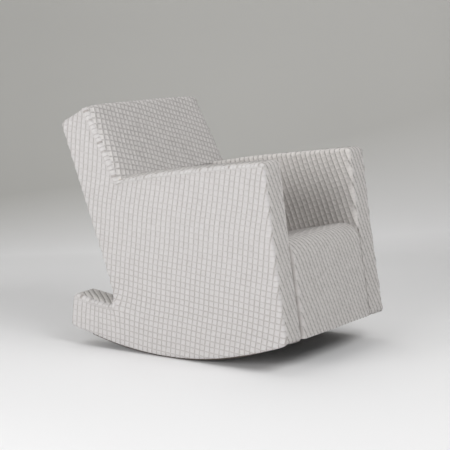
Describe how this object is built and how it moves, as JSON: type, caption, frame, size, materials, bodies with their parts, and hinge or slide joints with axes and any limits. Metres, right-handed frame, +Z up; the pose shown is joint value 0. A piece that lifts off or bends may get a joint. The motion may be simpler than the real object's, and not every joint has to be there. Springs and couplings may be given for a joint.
{
  "type": "rocking armchair",
  "caption": "Upholstered rocking armchair: two side slabs that form arms and curved rockers with a rear heel, a raked seat and a reclined full-width back.",
  "frame": {"origin": "on the floor, midway between the sides and between the frontmost and rearmost points of the chair at rest", "axes": "+X is the sitter's left, -Y is the front, which the sitter faces, +Z is up"},
  "size_m": [0.68, 0.9221, 0.8414],
  "materials": {
    "quilted_fabric": "matte woven quilt",
    "foam": "soft open foam",
    "timber": "planed, unfinished",
    "plywood": "unfinished",
    "hardboard": "smooth",
    "webbing": "woven",
    "underside_cloth": "thin non-woven",
    "wear_strip": "matte",
    "steel": "zinc plated"
  },
  "bodies": {
    "root": {"arm_band_left": "quilted_fabric", "arm_band_right": "quilted_fabric", "arm_rail_left": "timber", "arm_rail_right": "timber", "back_board": "hardboard", "back_cleat_left": "timber", "back_cleat_right": "timber", "back_foam": "foam", "back_lower_rail": "timber", "back_post_left": "timber", "back_post_right": "timber", "back_stile_left": "timber", "back_stile_right": "timber", "back_top_rail": "timber", "back_webbing": "webbing", "barrel_nuts": "steel", "base_band_left": "quilted_fabric", "base_band_right": "quilted_fabric", "base_front_rail": "timber", "base_rear_rail": "timber", "corner_blocks": "timber", "dust_cover": "underside_cloth", "edge_foam_left": "foam", "edge_foam_right": "foam", "front_board": "hardboard", "front_foam": "foam", "front_post_left": "timber", "front_post_right": "timber", "heel_block_left": "timber", "heel_block_right": "timber", "heel_cover_left": "quilted_fabric", "heel_cover_right": "quilted_fabric", "inner_board_left": "plywood", "inner_board_right": "plywood", "inner_foam_left": "foam", "inner_foam_right": "foam", "inside_arm_cover_left": "quilted_fabric", "inside_arm_cover_right": "quilted_fabric", "inside_back_cover": "quilted_fabric", "outer_board_left": "plywood", "outer_board_right": "plywood", "outer_foam_left": "foam", "outer_foam_right": "foam", "outside_back_cover": "quilted_fabric", "outside_cover_left": "quilted_fabric", "outside_cover_right": "quilted_fabric", "rail_bolts": "steel", "rear_foam": "foam", "rocker_left": "plywood", "rocker_right": "plywood", "runner_left": "wear_strip", "runner_right": "wear_strip", "seat_cleat_left": "timber", "seat_cleat_right": "timber", "seat_cover": "quilted_fabric", "seat_foam": "foam", "seat_front_rail": "timber", "seat_rear_rail": "timber", "seat_webbing": "webbing"}
  },
  "joints": []
}
